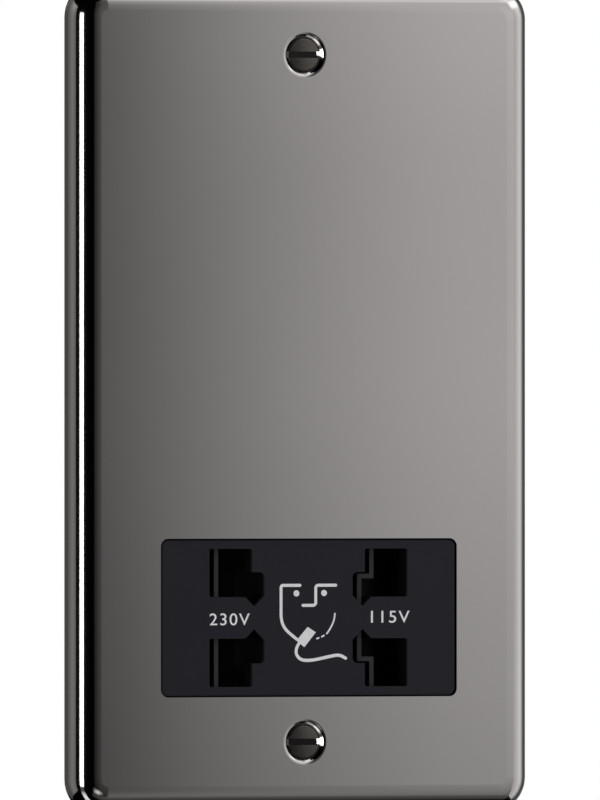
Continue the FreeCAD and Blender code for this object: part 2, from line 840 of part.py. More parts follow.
# Transformer
def core_e_stack():
    """E-shaped laminations: yoke below, two side limbs and the middle limb."""
    half = core_width / 2
    top = core_window_low + core_window
    yoke = block(-half, half, core_front, core_rear, core_low_z, core_window_low)
    middle = block(-core_limb / 2, core_limb / 2, core_front, core_rear, core_window_low, top)
    sides = [block(min(side * half, side * (half - core_side_limb)),
                   max(side * half, side * (half - core_side_limb)),
                   core_front, core_rear, core_window_low, top) for side in (-1, 1)]
    stack = fused([yoke, middle] + sides)
    return cut_all(stack, [rod(core_bolt_r + core_bolt_gap, core_front - 1, core_rear + 1, x, z)
                           for x, z in core_bolt_places()[:2]])


def core_i_stack():
    half = core_width / 2
    stack = block(-half, half, core_front, core_rear, core_window_low + core_window, core_high_z)
    return cut_all(stack, [rod(core_bolt_r + core_bolt_gap, core_front - 1, core_rear + 1, x, z)
                           for x, z in core_bolt_places()[2:]])


def core_bolts():
    return group([slotted_screw(core_bolt_r, bolt_head_r, bolt_head, core_rear - base_front,
                                x, core_rear, z) for x, z in core_bolt_places()])


def ring_tube(inner, inner_corner, outer, outer_corner, z0, z1):
    """Square tube round the middle limb, upright along Z, with rounded corners."""
    def plan(half, radius):
        face = Part.Face(outline(rectangle(half, half, radius), 0))
        face.rotate(vec(0, 0, 0), vec(1, 0, 0), 90)
        face.translate(vec(0, core_mid_y, z0))
        return face
    outside = plan(outer, outer_corner).extrude(vec(0, 0, z1 - z0))
    return outside.cut(plan(inner, inner_corner).extrude(vec(0, 0, z1 - z0)))


def tag_places():
    """Solder tags: x and z of each, three on each rail."""
    rail_mid = bobbin_half_z + rail_height / 2
    return [(column * tag_pitch, core_mid_z + level * rail_mid)
            for level in (-1, 1) for column in (-1, 0, 1)]


def bobbin():
    """Split bobbin with three flanges and a tag rail at each end."""
    low = core_mid_z - bobbin_half_z
    high = core_mid_z + bobbin_half_z
    tube_in = core_limb / 2 + bobbin_gap
    flange_x = core_limb / 2 + core_side_limb - bobbin_side_gap
    flange_y = core_stack / 2 + bobbin_reach
    spool = block(-winding_inner, winding_inner, core_mid_y - winding_inner,
                  core_mid_y + winding_inner, low, high)
    solids = [spool]
    for z0 in (low, core_mid_z - bobbin_flange / 2, high - bobbin_flange):
        solids.append(block(-flange_x, flange_x, core_mid_y - flange_y, core_mid_y + flange_y,
                            z0, z0 + bobbin_flange))
    for z0 in (low - rail_height, high):
        solids.append(block(-flange_x, flange_x, rail_front, bobbin_rear, z0, z0 + rail_height))
    body = fused(solids)
    body = body.cut(block(-tube_in, tube_in, core_mid_y - tube_in, core_mid_y + tube_in,
                          low - rail_height - 1, high + rail_height + 1))
    half_x = tag_width / 2 + tag_gap
    half_z = tag_thickness / 2 + tag_gap
    return cut_all(body, [block(x - half_x, x + half_x, rail_front - 1, bobbin_rear + 1,
                                z - half_z, z + half_z) for x, z in tag_places()])


def bobbin_tags():
    return group([block(x - tag_width / 2, x + tag_width / 2, rail_front, tag_rear,
                        z - tag_thickness / 2, z + tag_thickness / 2) for x, z in tag_places()])


def winding_span(level):
    """Lowest and highest z of the winding above or below the middle flange."""
    near = bobbin_flange / 2 + winding_gap
    far = bobbin_half_z - bobbin_flange - winding_gap
    return tuple(sorted((core_mid_z + level * near, core_mid_z + level * far)))


def winding(level):
    z0, z1 = winding_span(level)
    return ring_tube(winding_inner + winding_gap / 2, 0, winding_inner + winding_thickness,
                     winding_corner, z0, z1)


def winding_tape(level):
    z0, z1 = winding_span(level)
    inner = winding_inner + winding_thickness
    return ring_tube(inner, winding_corner, inner + tape_thickness,
                     winding_corner + tape_thickness, z0, z1)


def thermal_cutout():
    """Resettable thermal cut-out that lies on the back of the primary winding."""
    z0, z1 = winding_span(1)
    mid = (z0 + z1) / 2
    y0 = tape_rear + tape_thickness
    can = block(-cutout_width / 2, cutout_width / 2, y0, y0 + cutout_depth,
                mid - cutout_height / 2, mid + cutout_height / 2)
    return can.makeFillet(cutout_round, edges_at(can, y0 + cutout_depth))


# Terminals
def terminal_clamps():
    """Three brass clamps with a wire bore from above and a screw hole from the rear."""
    clamps = []
    for i in range(3):
        x = terminal_x(i)
        clamp = block(x - clamp_width / 2, x + clamp_width / 2, clamp_front, clamp_rear,
                      terminal_z - clamp_height / 2, terminal_z + clamp_height / 2)
        clamp = clamp.cut(upright(clamp_bore_r, terminal_z - clamp_height / 2 - 1,
                                  terminal_z + clamp_height / 2 + 1, x, clamp_mid_y))
        clamp = clamp.cut(rod(terminal_screw_r + terminal_screw_gap, clamp_mid_y,
                              clamp_rear + 1, x, terminal_z))
        clamps.append(clamp)
    return group(clamps)


def terminal_screws():
    shank = clamp_depth / 2 - clamp_bore_r
    return group([slotted_screw(terminal_screw_r, terminal_screw_head_r, terminal_screw_head,
                                shank, terminal_x(i), clamp_rear + terminal_screw_seat, terminal_z)
                  for i in range(3)])


# Leads
def lead(points):
    """Round insulated lead: straight runs joined by tangent arcs."""
    points = [vec(x, y, z) for x, y, z in points]
    edges = []
    start = points[0]
    for before, corner, after in zip(points, points[1:], points[2:]):
        first, middle, last = round_corner(before, corner, after, lead_bend)
        edges.append(Part.LineSegment(start, first).toShape())
        edges.append(Part.Arc(first, middle, last).toShape())
        start = last
    edges.append(Part.LineSegment(start, points[-1]).toShape())
    path = Part.Wire(edges)
    along = (points[1] - points[0]).normalize()
    ring = Part.Wire(Part.makeCircle(lead_r, points[0], along))
    return path.makePipeShell([ring], True, False)


def clamp_end(i):
    """End of a lead at the underside of terminal clamp i, and the turn below the housing."""
    x = lead_drop_x(i)
    return [(x, clamp_mid_y, terminal_z - clamp_height / 2), (x, clamp_mid_y, crossing_z)]


def tail_end(place):
    """End of a lead on one of the tags that pass through the rear cover, and its turn."""
    x, z, thickness = tail_places()[place]
    return (x + insert_x, tail_rear, z)


def tag_end(place, level):
    """End of a lead on the outer or inner flat side of a bobbin tag."""
    x, z = tag_places()[place]
    return (x, tag_solder_y, z + level * tag_thickness / 2)


def lead_earth():
    x, z = stud_places()[0]
    x -= earth_tongue - tongue_width / 2
    return lead([(x, base_rear + earth_tag_thickness, z), (x, lane_y - lead_r, z),
                 (-lane_x, lane_y, z + lane_rise), (-lane_x, lane_y, core_mid_z),
                 (-lane_x, clamp_mid_y, crossing_z)] + clamp_end(0)[::-1])


def lead_neutral():
    end = tag_end(3, 1)
    return lead(clamp_end(1) + [(end[0], end[1], crossing_z), end])


def lead_line():
    x, y, z = tail_end(4)
    return lead(clamp_end(2) + [(lane_x, clamp_mid_y, crossing_z), (lane_x, clamp_mid_y, core_low_z),
                                (lane_x, y + tail_turn, z), (x, y + tail_turn, z), (x, y, z)])


def lead_switched():
    x, y, z = tail_end(3)
    z0, z1 = winding_span(1)
    cutout_z = (z0 + z1) / 2
    return lead([(x, y, z), (x, y + tail_turn, z), (-inner_lane_x, y + tail_turn, z + tail_rise),
                 (-inner_lane_x, bolt_lane_y, core_low_z),
                 (-inner_lane_x, cutout_y, core_window_low + inner_lane_rise),
                 (-inner_lane_x, cutout_y, cutout_z), (-cutout_width / 2, cutout_y, cutout_z)])


def lead_cutout():
    end = tag_end(5, -1)
    z0, z1 = winding_span(1)
    cutout_z = (z0 + z1) / 2
    return lead([(cutout_width / 2, cutout_y, cutout_z), (end[0], cutout_y, cutout_z),
                 (end[0], cutout_y, end[2])])


def lead_secondary(tag, tail):
    """Lead from a lower bobbin tag down to an outlet contact's tag."""
    x0, y0, z0 = tag_end(tag, -1)
    x, y, z = tail_end(tail)
    return lead([(x0, y0, z0), (x0, y0, core_low_z - outlet_rise),
                 (x, y + outlet_turn, chamber_top - lead_bend - wall),
                 (x, y + outlet_turn, z), (x, y, z)])


def earth_tag():
    """Ring tag under the nut of the lower left stud."""
    x, z = stud_places()[0]
    y0 = base_rear
    y1 = base_rear + earth_tag_thickness
    ring = rod(earth_tag_r, y0, y1, x, z)
    tongue = block(x - earth_tongue, x, y0, y1, z - tongue_width / 2, z + tongue_width / 2)
    return ring.fuse(tongue).cut(rod(stud_hole_r, y0 - 1, y1 + 1, x, z)).removeSplitter()


pieces = {
    "faceplate": faceplate,
    "fixing_screw_top": lambda: fixing_screw(fixing_pitch / 2),
    "fixing_screw_bottom": lambda: fixing_screw(-fixing_pitch / 2),
    "socket_insert": lambda: at_insert(socket_insert()),
    "module_carrier": module_carrier,
    "stud_washers": stud_washers,
    "stud_nuts": stud_nuts,
    "shutter_slider": lambda: at_insert(shutter_slider()),
    "centring_spring_left": lambda: at_insert(centring_spring(-1)),
    "centring_spring_right": lambda: at_insert(centring_spring(1)),
    "switch_bridge": lambda: at_insert(switch_bridge()),
    "switch_contact_line": lambda: at_insert(switch_contact(1)),
    "switch_contact_load": lambda: at_insert(switch_contact(-1)),
    "contact_common": lambda: at_insert(contact_common()),
    "contact_230": lambda: at_insert(outlet_contact(outlet_left_x)),
    "contact_115": lambda: at_insert(outlet_contact(outlet_right_x)),
    "socket_rear_cover": lambda: at_insert(socket_rear_cover()),
    "cover_screws": lambda: at_insert(cover_screws()),
    "core_e_stack": core_e_stack,
    "core_i_stack": core_i_stack,
    "core_bolts": core_bolts,
    "bobbin": bobbin,
    "bobbin_tags": bobbin_tags,
    "primary_winding": lambda: winding(1),
    "secondary_winding": lambda: winding(-1),
    "primary_tape": lambda: winding_tape(1),
    "secondary_tape": lambda: winding_tape(-1),
    "thermal_cutout": thermal_cutout,
    "terminal_clamps": terminal_clamps,
    "terminal_screws": terminal_screws,
    "earth_tag": earth_tag,
    "lead_earth": lead_earth,
    "lead_neutral": lead_neutral,
    "lead_line": lead_line,
    "lead_switched": lead_switched,
    "lead_cutout": lead_cutout,
    "lead_common": lambda: lead_secondary(1, 0),
    "lead_230": lambda: lead_secondary(0, 1),
    "lead_115": lambda: lead_secondary(2, 2),
}

os.makedirs("parts", exist_ok=True)
for name, make in pieces.items():
    shape = make()
    shape.exportStep("parts/" + name + ".step")
    print(name, len(shape.Solids), round(shape.Volume, 1), shape.isValid())
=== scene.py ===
import math

import bmesh
import bpy
import numpy as np
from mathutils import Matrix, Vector


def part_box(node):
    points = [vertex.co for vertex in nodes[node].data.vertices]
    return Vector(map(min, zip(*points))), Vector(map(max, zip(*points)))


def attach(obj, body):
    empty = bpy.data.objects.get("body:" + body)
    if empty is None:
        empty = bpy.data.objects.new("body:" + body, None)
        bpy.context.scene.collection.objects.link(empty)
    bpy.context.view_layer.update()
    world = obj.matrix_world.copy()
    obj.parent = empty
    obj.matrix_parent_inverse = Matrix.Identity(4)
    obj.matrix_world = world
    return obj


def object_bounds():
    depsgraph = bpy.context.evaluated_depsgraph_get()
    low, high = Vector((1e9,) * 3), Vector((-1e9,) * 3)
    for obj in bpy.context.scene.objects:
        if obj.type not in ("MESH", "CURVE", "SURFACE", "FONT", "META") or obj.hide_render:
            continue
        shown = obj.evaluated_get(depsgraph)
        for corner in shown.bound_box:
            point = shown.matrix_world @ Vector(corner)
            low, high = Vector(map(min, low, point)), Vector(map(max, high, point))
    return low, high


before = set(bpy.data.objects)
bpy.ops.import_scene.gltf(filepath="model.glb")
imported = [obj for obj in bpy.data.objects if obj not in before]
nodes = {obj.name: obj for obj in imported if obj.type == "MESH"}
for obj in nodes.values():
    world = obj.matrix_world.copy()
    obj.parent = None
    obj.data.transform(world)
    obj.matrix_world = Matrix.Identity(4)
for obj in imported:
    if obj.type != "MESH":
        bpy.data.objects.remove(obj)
cadLow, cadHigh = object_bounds()
millimetre = 0.001

# Where the camera of the photograph stood: to the left of the plate, about level with its middle
cameraSet = {
    "azimuth": -20.6,
    "lens": 1000.0,
    "sensor": 36.0,
    "frameHeight": 140.4 * millimetre,
    "imageSize": (600, 800),
    "platePixel": (304.9, 398.3),
    "clipStart": 0.05,
    "clipReach": 3,
}


def heading(azimuth):
    # unit vector away from the plate: azimuth 0 points to -Y, positive turns towards +X
    turn = math.radians(azimuth)
    return Vector((math.sin(turn), -math.cos(turn), 0.0))


def sideways(azimuth):
    turn = math.radians(azimuth)
    return Vector((math.cos(turn), math.sin(turn), 0.0))


def linkNew(name, data):
    thing = bpy.data.objects.new(name, data)
    bpy.context.scene.collection.objects.link(thing)
    return thing


def makeCamera():
    low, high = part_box("faceplate")
    middle = Vector(((low.x + high.x) / 2, low.y, (low.z + high.z) / 2))
    width, height = cameraSet["imageSize"]
    pixelX, pixelY = cameraSet["platePixel"]
    perPixel = cameraSet["frameHeight"] / height
    back = heading(cameraSet["azimuth"])
    right = sideways(cameraSet["azimuth"])
    aim = middle - right * (pixelX - width / 2) * perPixel
    aim.z -= (height / 2 - pixelY) * perPixel
    distance = cameraSet["frameHeight"] * cameraSet["lens"] / cameraSet["sensor"]
    data = bpy.data.cameras.new("photoCamera")
    data.lens = cameraSet["lens"]
    data.sensor_width = cameraSet["sensor"]
    data.clip_start = cameraSet["clipStart"]
    data.clip_end = distance * cameraSet["clipReach"]
    camera = linkNew("photoCamera", data)
    camera.location = aim + back * distance
    camera.rotation_mode = "QUATERNION"
    camera.rotation_quaternion = (-back).to_track_quat("-Z", "Y")
    bpy.context.scene.camera = camera


def rgb(red, green, blue):
    return (red, green, blue, 1.0)


def coolGrey(level, blue):
    return rgb(level, level, level * blue)


class Shade:
    # a socket of a shader node that takes part in ordinary sums
    def __init__(self, paint, socket):
        self.paint = paint
        self.socket = socket

    def sum(self, operation, left, right):
        return self.paint.add("ShaderNodeMath", {"operation": operation}, {0: left, 1: right})

    def __add__(self, other):
        return self.sum("ADD", self, other)

    def __radd__(self, other):
        return self.sum("ADD", other, self)

    def __sub__(self, other):
        return self.sum("SUBTRACT", self, other)

    def __mul__(self, other):
        return self.sum("MULTIPLY", self, other)


class Paint:
    # one material, with its Principled shader and the place on the object
    def __init__(self, name):
        self.material = bpy.data.materials.new(name)
        self.material.use_nodes = True
        self.tree = self.material.node_tree
        self.shader = self.tree.nodes["Principled BSDF"]
        self.place = self.add("ShaderNodeTexCoord", output="Object")

    def add(self, kind, settings=None, inputs=None, output=0):
        node = self.tree.nodes.new(kind)
        for name, value in (settings or {}).items():
            if name == "stops":
                self.setStops(node.color_ramp, value)
            else:
                setattr(node, name, value)
        for key, value in (inputs or {}).items():
            self.feed(node.inputs[key], value)
        return Shade(self, node.outputs[output])

    def setStops(self, ramp, stops):
        while len(ramp.elements) < len(stops):
            ramp.elements.new(0.5)
        for element, (position, level) in zip(ramp.elements, stops):
            element.position = position
            element.color = rgb(level, level, level)

    def feed(self, socket, value):
        if isinstance(value, Shade):
            self.tree.links.new(value.socket, socket)
        else:
            socket.default_value = value

    def set(self, **values):
        for name, value in values.items():
            self.feed(self.shader.inputs[name.replace("_", " ")], value)

    def depthOf(self):
        # distance into the wall, in metres
        return self.add("ShaderNodeSeparateXYZ", inputs={0: self.place}, output=1)

    def behind(self, start, fade):
        # 0 as far as the start, in metres into the wall, then up to 1 over the fade's length
        depth = (self.depthOf() - start) * (1 / fade)
        return self.add("ShaderNodeMath", {"operation": "MINIMUM", "use_clamp": True},
                        {0: depth, 1: 1.0})

    def noise(self, scale, detail, roughness=0.5, stretch=(1.0, 1.0, 1.0)):
        place = self.place
        if stretch != (1.0, 1.0, 1.0):
            place = self.add("ShaderNodeMapping", inputs={"Vector": place, "Scale": stretch})
        return self.add("ShaderNodeTexNoise", inputs={
            "Vector": place, "Scale": scale, "Detail": detail, "Roughness": roughness})

    def bands(self, axis, pitch, distortion=0.0):
        # even stripes across one axis, one dark and one light in each pitch
        return self.add("ShaderNodeTexWave", {"bands_direction": axis}, {
            "Vector": self.place, "Scale": math.pi / 10 / pitch, "Distortion": distortion})

    def mix(self, factor, dark, light):
        return self.add("ShaderNodeMix", {"data_type": "RGBA"},
                        {0: factor, 6: dark, 7: light}, output=2)

    def bump(self, height, distance, strength):
        return self.add("ShaderNodeBump", inputs={
            "Height": height, "Distance": distance, "Strength": strength})


# In every finish below, a noise is its scale and detail, then its roughness where that isn't
# 0.5, and a relief is the depth of a bump in metres and its strength
plateFinish = {
    "tone": rgb(0.56, 0.54, 0.527),
    "shadeTone": rgb(0.52, 0.5, 0.488),
    "roughness": 0.075,
    "roughnessSpread": 0.035,
    "cloud": (35.0, 3.0),
    "polish": (260.0, 2.0),
    "relief": (0.000002, 0.4),
}


def plateMaterial():
    paint = Paint("blackNickelPlate")
    cloud = paint.noise(*plateFinish["cloud"])
    polish = paint.noise(*plateFinish["polish"])
    paint.set(
        Base_Color=paint.mix(cloud, plateFinish["shadeTone"], plateFinish["tone"]),
        Metallic=1.0,
        Roughness=plateFinish["roughness"] + cloud * plateFinish["roughnessSpread"],
        Normal=paint.bump(polish, *plateFinish["relief"]))
    return paint.material


screwFinish = {
    "tone": rgb(0.142, 0.132, 0.122),
    "shadeTone": rgb(0.102, 0.095, 0.087),
    # painted shade colour of the slot and rim
    "slotShadeTone": rgb(0.03, 0.028, 0.028),
    "slotStart": 0.00035,
    "slotFade": 0.0001,
    "roughness": 0.2,
    "roughnessSpread": 0.12,
    "grain": (1400.0, 3.0),
    "relief": (0.000008, 0.5),
}


def screwMaterial():
    # dark plated head, with painted shade in its slot and round its rim, a set depth behind its
    # front
    paint = Paint("darkNickelScrew")
    grain = paint.noise(*screwFinish["grain"])
    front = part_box("fixing_screw_top")[0].y
    # painted shade: the colour goes dark from a set depth behind the head's front, in the slot
    # and round the rim
    slotShade = paint.behind(front + screwFinish["slotStart"], screwFinish["slotFade"])
    head = paint.mix(grain, screwFinish["shadeTone"], screwFinish["tone"])
    paint.set(
        Base_Color=paint.mix(slotShade, head, screwFinish["slotShadeTone"]),
        Metallic=1.0,
        Roughness=screwFinish["roughness"] + grain * screwFinish["roughnessSpread"],
        Normal=paint.bump(grain, *screwFinish["relief"]))
    return paint.material


insertFinish = {
    "tone": rgb(0.0178, 0.0168, 0.0245),
    "shadeTone": rgb(0.0158, 0.0148, 0.022),
    # painted shade colour of the recesses behind the face
    "recessShadeTone": rgb(0.0006, 0.0006, 0.0007),
    # painted highlight colour of the ribs' front edges
    "ribHighlightTone": rgb(0.038, 0.038, 0.039),
    "roughness": 0.33,
    "roughnessSpread": 0.1,
    "deepRoughness": 0.45,
    "gloss": 0.25,
    "deepStart": 0.00045,
    "deepFade": 0.0003,
    "ribDepth": 0.0008,
    "ribFade": 0.00008,
    "cloud": (60.0, 3.0),
    "texture": (3300.0, 2.0, 0.6),
    "relief": (0.00001, 0.6),
}


def insertMaterial():
    # satin black face; the aperture walls behind it are rougher and carry painted shade that
    # deepens with depth, and a painted highlight makes the ribs' front edges, a set depth behind
    # the face, show as light lines
    paint = Paint("insertMoulding")
    cloud = paint.noise(*insertFinish["cloud"])
    texture = paint.noise(*insertFinish["texture"])
    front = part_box("socket_insert")[0].y
    # painted shade: darker with depth behind the face; the same ramp also roughens the walls
    recessShadeAndRoughness = paint.behind(front + insertFinish["deepStart"], insertFinish["deepFade"])
    # painted highlight: a thin lighter band at the ribs' depth stands for light on their front
    # edges
    fromRib = paint.add("ShaderNodeMath", {"operation": "ABSOLUTE"},
                        {0: paint.depthOf() - (front + insertFinish["ribDepth"])})
    ribHighlight = paint.add("ShaderNodeMath", {"operation": "SUBTRACT", "use_clamp": True},
                       {0: 1.0, 1: fromRib * (1 / insertFinish["ribFade"])})
    face = paint.mix(cloud, insertFinish["shadeTone"], insertFinish["tone"])
    walls = paint.mix(recessShadeAndRoughness, face, insertFinish["recessShadeTone"])
    paint.set(
        Base_Color=paint.mix(ribHighlight, walls, insertFinish["ribHighlightTone"]),
        Roughness=(insertFinish["roughness"] + texture * insertFinish["roughnessSpread"]
                   + recessShadeAndRoughness * insertFinish["deepRoughness"]),
        Specular_IOR_Level=insertFinish["gloss"],
        Normal=paint.bump(texture, *insertFinish["relief"]))
    return paint.material


# Name, shade tone, tone and roughness of the material of each plastic piece
plastics = {
    "module_carrier": ("carrierMoulding", coolGrey(0.006, 1.25), coolGrey(0.01, 1.3), 0.5),
    "socket_rear_cover": ("coverMoulding", coolGrey(0.04, 1.25), coolGrey(0.055, 1.3), 0.4),
    "shutter_slider": ("shutterMoulding", coolGrey(0.0012, 1.25), coolGrey(0.002, 1.3), 0.7),
    "bobbin": ("naturalNylon", rgb(0.68, 0.65, 0.55), rgb(0.8, 0.77, 0.68), 0.4),
    "thermal_cutout": ("phenolicCase", rgb(0.1, 0.035, 0.02), rgb(0.16, 0.06, 0.035), 0.35),
}

plasticSet = {
    "roughnessSpread": 0.12,
    "cloud": (60.0, 3.0),
    "texture": (1 / 0.0003, 2.0, 0.6),
    "relief": (0.00001, 0.6),
}


def mouldedPlastic(name, shadeTone, tone, roughness):
    # spark-eroded mould texture over a slow change of tone
    paint = Paint(name)
    cloud = paint.noise(*plasticSet["cloud"])
    texture = paint.noise(*plasticSet["texture"])
    paint.set(
        Base_Color=paint.mix(cloud, shadeTone, tone),
        Roughness=roughness + texture * plasticSet["roughnessSpread"],
        Normal=paint.bump(texture, *plasticSet["relief"]))
    return paint.material


# Shade tone, tone, roughness and stretch of the grain of each bright metal, and its pieces
metals = {
    "zincPlate": (rgb(0.55, 0.56, 0.57), rgb(0.7, 0.7, 0.69), 0.28, (1.0, 1.0, 1.0),
                  ("stud_washers", "stud_nuts", "cover_screws", "core_bolts",
                   "terminal_screws")),
    "springWire": (rgb(0.5, 0.5, 0.5), rgb(0.66, 0.66, 0.66), 0.22, (1.0, 1.0, 1.0),
                   ("centring_spring_left", "centring_spring_right")),
    "stampedBrass": (rgb(0.66, 0.45, 0.17), rgb(0.82, 0.6, 0.27), 0.26, (1.0, 1.0, 1.0),
                     ("switch_bridge", "switch_contact_line", "switch_contact_load",
                      "contact_common", "contact_230", "contact_115", "bobbin_tags",
                      "earth_tag")),
    "machinedBrass": (rgb(0.62, 0.42, 0.15), rgb(0.8, 0.6, 0.28), 0.3, (0.2, 1.0, 1.0),
                      ("terminal_clamps",)),
}

metalSet = {
    "roughnessSpread": 0.15,
    "cloud": (120.0, 2.0),
    "grain": (900.0, 3.0, 0.6),
    "relief": (0.00001, 0.5),
}


def brightMetal(name, shadeTone, tone, roughness, stretch):
    paint = Paint(name)
    grain = paint.noise(*metalSet["grain"], stretch)
    cloud = paint.noise(*metalSet["cloud"])
    paint.set(
        Base_Color=paint.mix(cloud, shadeTone, tone),
        Metallic=1.0,
        Roughness=roughness + grain * metalSet["roughnessSpread"],
        Normal=paint.bump(grain, *metalSet["relief"]))
    return paint.material


coreSet = {
    "tone": rgb(0.17, 0.175, 0.19),
    "shadeTone": rgb(0.07, 0.075, 0.085),
    "metallic": 0.75,
    "roughness": 0.38,
    "roughnessSpread": 0.2,
    "sheetPitch": 0.0005,
    "sheetDistortion": 0.3,
    "sheetShare": 0.8,
    "varnishShare": 0.3,
    "varnish": (150.0, 4.0, 0.6),
    "relief": (0.00008, 0.8),
}


def laminationMaterial():
    # stacked sheets seen on edge, with varnish that dulls some places
    paint = Paint("laminatedCore")
    sheets = paint.bands("Y", coreSet["sheetPitch"], coreSet["sheetDistortion"])
    varnish = paint.noise(*coreSet["varnish"])
    paint.set(
        Base_Color=paint.mix(varnish, coreSet["shadeTone"], coreSet["tone"]),
        Metallic=coreSet["metallic"],
        Roughness=coreSet["roughness"] + varnish * coreSet["roughnessSpread"],
        Normal=paint.bump(sheets * coreSet["sheetShare"] + varnish * coreSet["varnishShare"],
                          *coreSet["relief"]))
    return paint.material


wireSet = {
    "tone": rgb(0.75, 0.28, 0.1),
    "shadeTone": rgb(0.28, 0.07, 0.02),
    "metallic": 0.8,
    "roughness": 0.28,
    "roughnessSpread": 0.12,
    "turnPitch": 0.00045,
    "turnDistortion": 0.5,
    "turnShare": 0.6,
    "cloudShare": 0.4,
    "cloud": (200.0, 2.0),
    "relief": (0.00015, 0.9),
}


def windingMaterial():
    # turns of enamelled wire that lie side by side up the bobbin
    paint = Paint("enamelledWire")
    turns = paint.bands("Z", wireSet["turnPitch"], wireSet["turnDistortion"])
    cloud = paint.noise(*wireSet["cloud"])
    paint.set(
        Base_Color=paint.mix(turns * wireSet["turnShare"] + cloud * wireSet["cloudShare"],
                             wireSet["shadeTone"], wireSet["tone"]),
        Metallic=wireSet["metallic"],
        Roughness=wireSet["roughness"] + cloud * wireSet["roughnessSpread"],
        Normal=paint.bump(turns, *wireSet["relief"]))
    return paint.material


tapeSet = {
    "tone": rgb(0.8, 0.6, 0.09),
    "shadeTone": rgb(0.62, 0.42, 0.04),
    "roughness": 0.25,
    "roughnessSpread": 0.15,
    "lapPitch": 0.0042,
    "lapDistortion": 1.0,
    "lapShare": 0.5,
    "wrinkle": (220.0, 3.0, 0.5, (1.0, 1.0, 3.0)),
    "relief": (0.00006, 0.6),
}


def tapeMaterial():
    # the wrinkle's last value stretches it along Z
    paint = Paint("polyesterTape")
    wrinkle = paint.noise(*tapeSet["wrinkle"])
    laps = paint.bands("Z", tapeSet["lapPitch"], tapeSet["lapDistortion"])
    paint.set(
        Base_Color=paint.mix(laps, tapeSet["shadeTone"], tapeSet["tone"]),
        Roughness=tapeSet["roughness"] + wrinkle * tapeSet["roughnessSpread"],
        Normal=paint.bump(wrinkle + laps * tapeSet["lapShare"], *tapeSet["relief"]))
    return paint.material


# Tone and shade tone of each colour of lead, and its pieces
leads = {
    "brownLead": (rgb(0.2, 0.075, 0.03), rgb(0.15, 0.05, 0.02),
                  ("lead_line", "lead_switched", "lead_cutout")),
    "blueLead": (rgb(0.02, 0.12, 0.5), rgb(0.015, 0.09, 0.4), ("lead_neutral",)),
    "redLead": (rgb(0.55, 0.02, 0.015), rgb(0.42, 0.015, 0.01), ("lead_230",)),
    "whiteLead": (rgb(0.78, 0.78, 0.75), rgb(0.68, 0.68, 0.65), ("lead_115",)),
    "blackLead": (rgb(0.02, 0.02, 0.02), rgb(0.012, 0.012, 0.012), ("lead_common",)),
}

leadSet = {
    "roughness": 0.38,
    "roughnessSpread": 0.12,
    "grain": (700.0, 2.0),
    "relief": (0.00001, 0.4),
    "earthGreen": rgb(0.03, 0.3, 0.05),
    "earthYellow": rgb(0.75, 0.65, 0.04),
    "stripePitch": 0.0011,
    "stripeStops": [(0.45, 0.0), (0.55, 1.0)],
}


def leadMaterial(name, tone, shadeTone):
    paint = Paint(name)
    grain = paint.noise(*leadSet["grain"])
    paint.set(
        Base_Color=paint.mix(grain, shadeTone, tone),
        Roughness=leadSet["roughness"] + grain * leadSet["roughnessSpread"],
        Normal=paint.bump(grain, *leadSet["relief"]))
    return paint.material


def earthLeadMaterial():
    # green and yellow by turns into the wall, so lengthwise stripes where the lead lies flat
    # along the carrier and rings where it runs into the wall
    paint = Paint("earthLead")
    stripe = paint.bands("Y", leadSet["stripePitch"])
    grain = paint.noise(*leadSet["grain"])
    edge = paint.add("ShaderNodeValToRGB", {"stops": leadSet["stripeStops"]}, {0: stripe})
    paint.set(
        Base_Color=paint.mix(edge, leadSet["earthGreen"], leadSet["earthYellow"]),
        Roughness=leadSet["roughness"] + grain * leadSet["roughnessSpread"])
    return paint.material


def dressNodes():
    finishes = {node: mouldedPlastic(*values) for node, values in plastics.items()}
    finishes["faceplate"] = plateMaterial()
    finishes["socket_insert"] = insertMaterial()
    finishes["lead_earth"] = earthLeadMaterial()
    groups = [(screwMaterial(), ("fixing_screw_top", "fixing_screw_bottom")),
              (laminationMaterial(), ("core_e_stack", "core_i_stack")),
              (windingMaterial(), ("primary_winding", "secondary_winding")),
              (tapeMaterial(), ("primary_tape", "secondary_tape"))]
    for name, (*values, names) in metals.items():
        groups.append((brightMetal(name, *values), names))
    for name, (*values, names) in leads.items():
        groups.append((leadMaterial(name, *values), names))
    for material, names in groups:
        for node in names:
            finishes[node] = material
    for node, material in finishes.items():
        mesh = nodes[node].data
        mesh.materials.clear()
        mesh.materials.append(material)
    undressed = sorted(set(nodes) - set(finishes))
    print("dressed", len(finishes), "nodes, left plain:", undressed)


# Printed marks on the outlet insert, in millimetres from the middle of the print, apart from
# the letters' spacing, weight and depth, which are shares of the font's own size
legendSet = {
    "rise": 0.02,
    "riseStep": 0.002,
    "sink": 0.01,
    "spread": 0.978,
    "shift": -0.4,
    "stroke": 0.54,
    "cordStroke": 0.56,
    "thinStroke": 0.3,
    "eyeRadius": 0.55,
    "curveSteps": 12,
    "bendSteps": 8,
    "endSteps": 6,
    "eyeSteps": 24,
    "textHeight": 2.1,
    "textWidth": {"230V": 7.5, "115V": 7.26},
    "leftText": ("230V", -14.7, -0.25),
    "rightText": ("115V", 16.1, 0.1),
    "letterSpacing": 1.15,
    "letterWeight": 0.004,
    "letterDepth": 0.01,
    "inkTone": rgb(0.96, 0.96, 0.97),
    "inkShadeTone": rgb(0.84, 0.84, 0.86),
    "inkRoughness": 0.45,
    "inkRoughnessSpread": 0.1,
    "wear": (900.0, 3.0),
}

